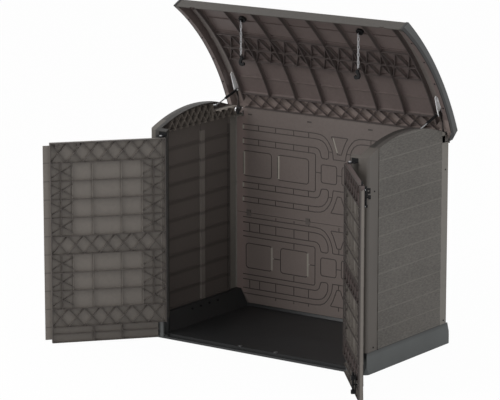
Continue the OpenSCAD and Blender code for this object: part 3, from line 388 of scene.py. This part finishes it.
def carved(piece, cutter):
    """Takes the cutter's shape out of the piece."""
    cut = piece.modifiers.new("grooves", "BOOLEAN")
    cut.object, cut.solver, cut.use_self = cutter, "EXACT", True
    bpy.context.view_layer.update()
    seen = piece.evaluated_get(bpy.context.evaluated_depsgraph_get())
    mesh = bpy.data.meshes.new_from_object(seen)
    piece.modifiers.clear()
    piece.data = mesh
    bpy.data.objects.remove(cutter)


relief = even_finish("relief", (95, 86, 82), (87, 78, 74))
# painted light: paler towards the ground and at the left; and painted shade in the grooves
relief.cover(relief.along("Z").over(0.95, 0.25) * 0.45, (114, 103, 98))
relief.cover(relief.along("X").over(-0.600, -0.640) * 0.8, (118, 103, 99))
groove_shade = relief.along("Y").over(panel_face - 0.0022, panel_face - 0.0012)
relief.cover(groove_shade, (52, 46, 43))
# the sloped strips are a paler copy of the plastic, as a painted highlight
slope_highlight = even_finish("relief_slopes", (136, 131, 122), (124, 119, 110))

# each half's outline and pattern, in millimetres: the loops' top, how far the second, third and
# fourth lines lie below it, and the height that the pattern is mirrored about
lower_outline = [(-600, 36), (600, 36), (652, 113), (683, 113), (683, 553.5), (-683, 553.5),
                 (-683, 113), (-652, 113)]
upper_outline = [(-683, 556.5), (683, 556.5), (683, 1101), (635, 1101), (635, 1150), (-635, 1150),
                 (-635, 1101), (-683, 1101)]
left = -648
neck = 134  # from the loops' top down to their neck in the middle
box_half, box_corner = 71, 16
square_half, square_corner = 51, 12
strip_half, strip_w = 66, 18
mark_z, mark_half = 1116, 14  # short wide grooves near the upper panel's top
for name, outline, top, drops, middle in (("lower", lower_outline, 529, (31, 82, 111), 308.5),
                                          ("upper", upper_outline, 1058, (30, 80, 113), 837)):
    bm = bmesh.new()
    corners = [(x / 1000, panel_face - relief_t, z / 1000) for x, z in outline]
    extruded(bm, corners, (0, relief_t, 0))
    sheet = mould("back_relief_" + name, bm, relief, "base")

    # the grooves: loops that run in from the sides, a funnel in the middle, ticks across, and boxes
    bm = bmesh.new()
    a, b, c, d = top, *(top - drop for drop in drops)  # the heights of its four lines
    end = top - neck
    loops = [
        [(left, a), (-160, a), (-123, a - 4), (-98, a - 14), (-79, a - 32), (-62, a - 55),
         (-50, a - 80), (-43, a - 106), (-40, end), (0, end)],
        [(left, b), (-165, b), (-135, b - 2), (-113, b - 8), (-94, b - 22), (-80, b - 42),
         (-72, b - 63), (-71, end + 8), (-76, end + 1), (-84, end - 2), (-110, end - 1),
         (-118, end + 2), (-121, end + 10), (-123, c - 36), (-130, c - 16), (-142, c - 5),
         (-158, c), (left, c)],
        [(left, d), (-170, d), (-161, d - 3), (-158, d - 11), (-158, middle)]]
    funnel = [(0, a - 7), (-51, a - 7), (-53, a - 10), (-38, a - 36), (-25, a - 68), (-15, a - 96),
              (-12, a - 103), (0, a - 103)]
    if name == "lower":
        ticks = [(-602, b, c), (-534, b, c), (-423, b, c), (-300, b, c), (-201, b, c),
                 (-423, a, a + 17), (-300, a, a + 17), (-201, a, a + 17), (-300, d, d - 33),
                 (0, a - 103, end), (0, a - 7, a + 17)]
        square = middle + 3
        boxes, links = ((-627, -449), (-391, -206)), ((-446, -394), (-205, -158))
        strips = [(x1 - 6, middle - strip_half, middle + strip_half) for x0, x1 in boxes]
    else:
        ticks = [(-541, a, b), (-426, a, b), (-304, a, b), (-204, a, b),
                 (-541, c, d), (-426, c, d), (-304, c, d), (-204, c, d)]
        square = middle
        boxes, links = ((-646, -453), (-412, -203)), ((-158, -120),)
        strips = [(x0 + 2, middle - strip_half, middle + strip_half) for x0, x1 in boxes]
        strips += [(left - 3, b + 4, a - 4), (left - 3, d + 4, c - 4),
                   (left - 3, 2 * middle - a + 4, 2 * middle - b - 4),
                   (left - 3, 2 * middle - c + 4, 2 * middle - d - 4)]
        mirrored_groove(bm, [(-71, a - 94), (-45, a - 94)], middle)
        for x in (-600, -200):
            groove(bm, [(x - mark_half, mark_z), (x + mark_half, mark_z)], width=0.008)
    for points in (*loops, funnel, *([(x, z0), (x, z1)] for x, z0, z1 in ticks)):
        mirrored_groove(bm, points, middle)
    for x0, x1 in boxes:
        groove(bm, rounded(x0, x1, middle - box_half, middle + box_half, box_corner))
    groove(bm, rounded(-120, -17, square - square_half, square + square_half, square_corner))
    for x0, x1 in links:
        groove(bm, [(x0, middle + 3), (x1, middle + 3)])
    groove(bm, [(-17, middle), (0, middle)])
    cutter_mesh = bpy.data.meshes.new("cutter")
    bm.to_mesh(cutter_mesh)
    bm.free()
    cutter = bpy.data.objects.new("cutter", cutter_mesh)
    bpy.context.collection.objects.link(cutter)
    carved(sheet, cutter)

    # sloped strips along one edge of a box or loop, on both hands, and along the upper funnel
    bm = bmesh.new()
    strip_face = panel_face - relief_t
    for x, z0, z1 in strips:
        for near in (x, -x - strip_w):
            centre_x = (near + strip_w / 2) / 1000 + shift
            foot, head = (Vector((centre_x, strip_face, z / 1000)) for z in (z0, z1))
            for v in bar(bm, foot, head, strip_w / 1000, 0.0036, (0, 1, 0)):
                if v.co.y < strip_face and v.co.x > centre_x:
                    v.co.y += 0.0032
    if name == "upper":
        head = Vector((shift - 0.043, strip_face, (a - 14) / 1000))
        foot = Vector((shift - 0.014, strip_face, (a - 94) / 1000))
        bar(bm, head, foot, 0.008, 0.0020, (0, 1, 0))
    bmesh.ops.bevel(bm, geom=bm.edges[:], offset=0.0004, affect="EDGES", segments=1, profile=0.5,
                    material=-1)
    mould("relief_slopes_" + name, bm, slope_highlight, "base")


# Lid: one arched moulding with arched ribs, low cross ribs, a front lip and a skirt at each end.
# Steel arms hold it on the rear posts; rows of V-shaped ribs and a band of crossed ribs stiffen it.
def turned(pin, angle, axis):
    """A turn by the angle about an axis through the pin."""
    return Matrix.Translation(pin) @ Matrix.Rotation(angle, 4, axis) @ Matrix.Translation(-pin)


lid_pin = Vector((0, 0.384, 1.145))
lid_open = radians(-52)
lid_turn = turned(lid_pin, lid_open, "X")
lid_r, lid_y, lid_z = 1.5931, -0.0115, -0.3501  # the arch of the shut lid
rib_pitch = 0.0885
lid_middle = lid_turn @ Vector((0, lid_y, lid_z))


def under_arch(y_from_front, inset):
    """The point on the shut lid's arch, lowered by inset, at a distance from the walls' front."""
    y = front + y_from_front - lid_y
    out = Vector((0, y, sqrt(lid_r ** 2 - y ** 2))).normalized()
    return Vector((0, lid_y, lid_z)) + out * (lid_r - inset), out


def arch_bar(bm, near, near_x, far, far_x, inset, wide, deep):
    """A bar under the arch between two places across it."""
    start, _ = under_arch(near, inset)
    end, out = under_arch(far, inset)
    bar(bm, start + Vector((near_x, 0, 0)), end + Vector((far_x, 0, 0)), wide, deep, out)


hinge_light_r, lip_r = 0.094, 0.796  # distances from the pin
lid_brown = even_finish("lid_brown", (98, 87, 84), (88, 77, 74))
from_pin = lid_brown.from_line(lid_pin.y, lid_pin.z)
bowed = lid_brown.from_line(lid_middle.y, lid_middle.z)
# painted light near the hinge, painted shade on the ribs' lower edges, and greyer on the lip and the outer
# face
lid_brown.cover(from_pin.over(hinge_light_r + 0.010, hinge_light_r), (122, 110, 105))
painted_rib_edges = bowed.over(lid_r - 0.013, lid_r - 0.020) * lid_brown.along("X").size().over(0.642, 0.640)
lid_brown.cover(painted_rib_edges, (70, 62, 60))
outer = from_pin.over(lip_r - 0.008, lip_r) + bowed.over(lid_r - 0.002, lid_r - 0.001)
lid_brown.cover(outer.over(0, 1), (66, 62, 58))
dress(lid_brown, "lid_panel")

rib_t, rib_end = 0.003, 0.631  # the ribs' thickness, and how far they may reach from the middle
spread = 0.044
band_near, band_far = 0.6946, 0.7815
tab_x, tab_y, tab_low, tab_top = 0.6488, 0.3942, 1.122, 1.156
bm = bmesh.new()
for near, far, offset in ((0.2496, 0.3531, 0), (0.3571, 0.4440, -spread)):
    for i in range(-7, 8):
        foot = rib_pitch * i + offset
        for head in (foot - spread, foot + spread):
            if max(abs(foot), abs(head)) < rib_end:
                arch_bar(bm, near, foot, far, head, 0.0155, rib_t, 0.024)
for i in range(-7, 7):
    x = rib_pitch * i
    for a, b in ((x, x + rib_pitch), (x + rib_pitch, x)):
        arch_bar(bm, band_near, a, band_far, b, 0.0145, rib_t, 0.022)
# a small tab behind each hinge
for x in (-tab_x, tab_x):
    bar(bm, (x, tab_y, tab_low), (x, tab_y, tab_top), 0.0145, 0.0024, (0, 1, 0))
bm.transform(lid_turn)
mould("lid_cross_ribs", bm, lid_brown, "lid")

# painted light: thin strips in a paler copy of the lid's plastic, laid in its end channels
end_strip = even_finish("lid_end_strip", (108, 101, 97), (98, 91, 87))
strip_x, strip_start, strip_step, strip_parts = 0.6645, 0.05, 0.026, 20
bm = bmesh.new()
for x in (-strip_x, strip_x):
    for k in range(strip_parts):
        near = strip_start + strip_step * k
        arch_bar(bm, near, x, near + strip_step, x, 0.0105, 0.050, 0.002)
bm.transform(lid_turn)
mould("lid_end_strips", bm, end_strip, "lid")

trim_dark = Finish("trim_dark", 0.45)
trim_grain = trim_dark.place.speckle(300, 3)
trim_dark.colour(trim_dark.place.speckle(4, 3).over(0.3, 0.7), (62, 63, 63), (74, 75, 75))
trim_dark.set("Roughness", trim_grain * 0.2 + 0.36)
trim_dark.relief(trim_grain, 0.25, 0.0006)
cap_x = 0.7268  # the caps' outer faces start here
skirt_r, skirt_z = 1.2866, -0.0906  # the arc of the skirt's lower edge on the shut lid
lip_lean, lip_y, lip_z = 0.2154, -0.803, 0.045  # the leaning front edge, from the lid's pin
skirt_middle = lid_turn @ Vector((0, lid_y, skirt_z))
from_edge = trim_dark.from_line(skirt_middle.y, skirt_middle.z)
depth, height = trim_dark.along("Y") - lid_pin.y, trim_dark.along("Z") - lid_pin.z
shut_y = depth * cos(lid_open) + height * sin(lid_open)
shut_z = height * cos(lid_open) - depth * sin(lid_open)
# dark on the caps' inner side, on their front edge and along the skirt's lower edge
dark = trim_dark.along("X").size().over(cap_x + 0.001, cap_x)
dark = dark + (shut_y - (shut_z - lip_z) * lip_lean).over(lip_y, lip_y - 0.0008)
dark = dark + from_edge.over(skirt_r + 0.020, skirt_r + 0.019)
trim_dark.cover(dark.over(0, 1), (26, 26, 26))
dress(trim_dark, "left_lid_trim", "right_lid_trim")


# Doors: two ribbed mouldings hung on pins, crossed ribs in their bands and along both sides.
# The left one has a lap that covers the joint; both carry lapped boards on the outer face.
door_pin = Vector((0.607, -0.420, 0))
door_open = radians(131)
door_turn = turned(door_pin, door_open, "Z")
door_outer, door_inner = -0.418, -0.392
door_low, door_top = 0.0165, 1.1085
top_band, middle_band, low_band = (1.0, 1.106), (0.5, 0.6), (0.1, 0.2)
side_rows = (2, 3, 4, 6, 7, 8, 9)  # the boards beside which the doors' sides have crossed ribs
first_rib = 0.037
board_end, foot_end = 0.596, 0.584  # the lowest board stops before the hinge's foot


def open_door(bm, side):
    """Turns what is made on the shut right door to the open one, or to the left one."""
    bm.transform(door_turn)
    if side < 0:
        bm.transform(Matrix.Diagonal((-1, 1, 1, 1)))


def crossed(bm, s0, s1, z0, z1):
    """Two crossed ribs between distances from the pin."""
    y = (door_outer + door_inner) / 2
    for a, b in ((s0, s1), (s1, s0)):
        bar(bm, (door_pin.x - a, y, z0), (door_pin.x - b, y, z1), 0.0024, 0.019, (0, 1, 0))


for side, name, reach, pitch, top_ribs in ((-1, "left", 0.604, 0.087, 7), (1, "right", 0.567, 0.0815, 6)):
    inside = even_finish(name + "_door_inside", (101, 95, 89), (92, 87, 82))
    grained = boards_finish(name + "_door_boards", turn=(0, 0, side * door_open), stretch=(45, 90, 150))
    lined(grained, 0)
    height = inside.along("Z")
    across, depth = inside.along("X") * side - door_pin.x, inside.along("Y") - door_pin.y
    along = across * -cos(door_open) - depth * sin(door_open)
    if side > 0:
        # painted shade: the crossed bands are darker and browner, as the shade in their lattice
        bands = height.over(0.999, 1.001)
        for low, high in (middle_band, low_band):
            bands = bands + height.within(low - 0.001, high + 0.001, 0.002)
        inside.cover((bands * along.over(0.571, 0.570)).over(0, 1), (76, 65, 63))
    else:
        # the boards' joints show on the lap
        joints = height.from_marks(board_h).over(0.040, 0.020) * along.over(0.606, 0.607)
        inside.cover(joints * 0.7, (58, 53, 50))
        dress(inside, "door_keepers")
    # painted shade on the ribs' edges
    painted_rib_edges = (depth * cos(door_open) - across * sin(door_open)).over(0.0205, 0.0235)
    inside.cover(painted_rib_edges, (60, 54, 51))
    dress(inside, name + "_door")

    bm = bmesh.new()
    for (low, high), count in ((top_band, top_ribs), (middle_band, 7), (low_band, 7)):
        for i in range(count):
            near = first_rib + pitch * (i - 0.5)
            crossed(bm, near, near + pitch, low + 0.001, high - 0.001)
    for k in side_rows:
        for near, far in ((-0.017, 0.104), (0.485, reach - 0.004)):  # at the pin and at the free edge
            crossed(bm, near, far, board_h * k + 0.018, board_h * k + 0.082)
    open_door(bm, side)
    mould(name + "_door_crossed_ribs", bm, inside, name + "_door")

    bm = bmesh.new()
    free_end = door_pin.x - reach
    rows = board_rows(11, 0, door_top, door_low)
    for row in rows:
        spans = [(free_end, foot_end if row == rows[0] else board_end)]
        if side > 0 and row == rows[-1]:
            spans = [(0.0825, board_end)]  # clear of the latch
        if side > 0 and row == rows[0]:
            spans = [(free_end, 0.108), (0.122, foot_end)]  # clear of the drop bolt
        if row != rows[0]:
            spans.append((0.6175, 0.6275))  # the strip past the pin
        for x0, x1 in spans:
            lapped_board(bm, (x0, door_outer), (x1, door_outer), row, (0, -1, 0),
                         proud=0.0026, thin=0.0010)
    open_door(bm, side)
    mould(name + "_door_boards", bm, grained, name + "_door")


# Metal parts: black coated steel brackets, arms and latches, and bright zinc pins, plates and chain.
# They are stamped, bent or turned, and screwed or riveted to the mouldings.
def pairs(*names):
    """The names of the left and the right one of each."""
    return [side + name for side in ("left_", "right_") for name in names]


def metal(name, roughness, metallic, scale, first, second):
    """A finish that varies only a little from the first colour to the second."""
    made = Finish(name, roughness, metallic)
    made.colour(made.place.speckle(scale, 3), first, second)
    return made


coated = metal("black_coating", 0.6, 0.0, 20, (14, 14, 15), (24, 24, 25))
coated.relief(coated.place.speckle(500, 2), 0.2, 0.0004)
coated.shader.inputs["Specular IOR Level"].default_value = 0.2
dress(coated, "rail_screws", "post_screws", "trim_screws", "latch_body", "latch_bar", "bolt_housing",
      "bottom_bolt", *pairs("door_bracket", "chain_anchor", "hook", "strut_tube"))
zinc = Finish("zinc_plate", 0.32, 1.0)
spangle = zinc.place.speckle(160, 4)
zinc.colour(spangle, (176, 179, 182), (214, 216, 218))
zinc.set("Roughness", spangle * 0.25 + 0.2)
dress(zinc, "sill_sockets", "latch_screws", *pairs("strut_stud", "strut_rod"))
dress(metal("arm_paint", 0.45, 0.0, 20, (50, 46, 44), (60, 56, 53)), *pairs("lid_arm"))
# the strut brackets' zinc is painted near white and not metallic, as a painted highlight
dress(metal("plate_painted_highlight", 0.3, 0.0, 160, (240, 241, 242), (252, 252, 252)), *pairs("strut_bracket"))
dress(metal("chain_steel", 0.4, 0.6, 90, (150, 150, 152), (190, 190, 192)), *pairs("chain", "top_pin"))
dress(metal("dark_steel", 0.45, 0.7, 90, (84, 84, 86), (112, 112, 114)), *pairs("lid_hinge", "hinge_pin"))

# each hook's grip, a curved plate drawn in the outline's own units
grip_outline = [(-6, 22), (6, 22), (9, 10), (14, 0), (15, -12), (9, -22), (-6, -25), (-14, -20),
                (-16, -8), (-9, -5), (-4, -10), (1, -7), (0, 2), (-7, 8)]
grip_w, grip_h = 0.0012, 0.0011  # the outline's units across and upwards
grip_t, grip_drop = 0.014, 0.008
for side, hand in (("left", -1), ("right", 1)):
    low, high = (Vector(corner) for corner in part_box(side + "_hook"))
    middle = (low + high) / 2 - Vector((0, grip_t / 2, grip_drop))
    bm = bmesh.new()
    corners = [middle + Vector((hand * x * grip_w, 0, z * grip_h)) for x, z in grip_outline]
    extruded(bm, corners, (0, grip_t, 0))
    bmesh.ops.bevel(bm, geom=bm.edges[:], offset=0.0015, affect="EDGES", segments=2, profile=0.5,
                    material=-1)
    mould(side + "_hook_grip", bm, coated, side + "_chain")


# Studio: a pale floor under a plain white room, lit softly from all sides and a little from the left.
# The camera stands at the photo's place, to the right of the front and a little above.
floor_bm = bmesh.new()
below_ground = Matrix.Translation((0, 0, -0.001))
bmesh.ops.create_grid(floor_bm, x_segments=1, y_segments=1, size=30, matrix=below_ground)
floor_mesh = bpy.data.meshes.new("floor")
floor_bm.to_mesh(floor_mesh)
floor_bm.free()
floor = bpy.data.objects.new("floor", floor_mesh)
bpy.context.collection.objects.link(floor)
pale = bpy.data.materials.new("pale_floor")
pale.use_nodes = True
tree = pale.node_tree
plain = Tone(tree)
shader = tree.nodes["Principled BSDF"]
shader.inputs["Base Color"].default_value = (0.8, 0.8, 0.8, 1)
shader.inputs["Roughness"].default_value = 0.9
seen = plain.node("LightPath", out="Is Camera Ray")
glow = plain.node("Emission", (), {"Color": (1, 1, 1, 1), "Strength": 1.0})
shown = plain.node("MixShader", (), {0: seen * 0.97, 1: Tone(tree, shader.outputs[0]), 2: glow})
tree.links.new(shown.socket, tree.nodes["Material Output"].inputs["Surface"])
floor_mesh.materials.append(pale)

world = bpy.data.worlds.new("room")
bpy.context.scene.world = world
world.use_nodes = True
tree = world.node_tree
room = Tone(tree)
ray, glossy, through = (room.node("LightPath", out="Is %s Ray" % kind)
                        for kind in ("Camera", "Glossy", "Transmission"))
bare = (ray + glossy + through).over(0, 1)
room_light = 0.62
tree.links.new((bare * (1 - room_light) + room_light).socket, tree.nodes["Background"].inputs["Strength"])
tree.nodes["Background"].inputs["Color"].default_value = (1, 1, 1, 1)

for name, place, aim, size, power in (("key", (-2.6, -6.0, 5.2), (0, 0, 0.7), 3.5, 260),
                                      ("side", (6.5, -1.5, 3.5), (0, 0, 0.7), 3.5, 90),
                                      ("front", (2.6, -6.5, 1.3), (0, 0.3, 0.45), 2.4, 55)):
    light = bpy.data.lights.new(name, "AREA")
    light.size, light.energy = size, power
    lamp = bpy.data.objects.new(name, light)
    lamp.location = place
    lamp.rotation_euler = (Vector(aim) - Vector(place)).to_track_quat("-Z", "Y").to_euler()
    bpy.context.collection.objects.link(lamp)

azimuth, elevation = 35.43, 12.14
camera_data = bpy.data.cameras.new("camera")
camera_data.sensor_width, camera_data.lens = 36, 208.47
camera_data.clip_end = 100
camera = bpy.data.objects.new("camera", camera_data)
camera.location = (8.6084, -12.5487, 4.0428)
camera.rotation_euler = (radians(90 - elevation), 0, radians(azimuth))
bpy.context.collection.objects.link(camera)
bpy.context.scene.camera = camera
bpy.context.scene.view_settings.view_transform = "Standard"
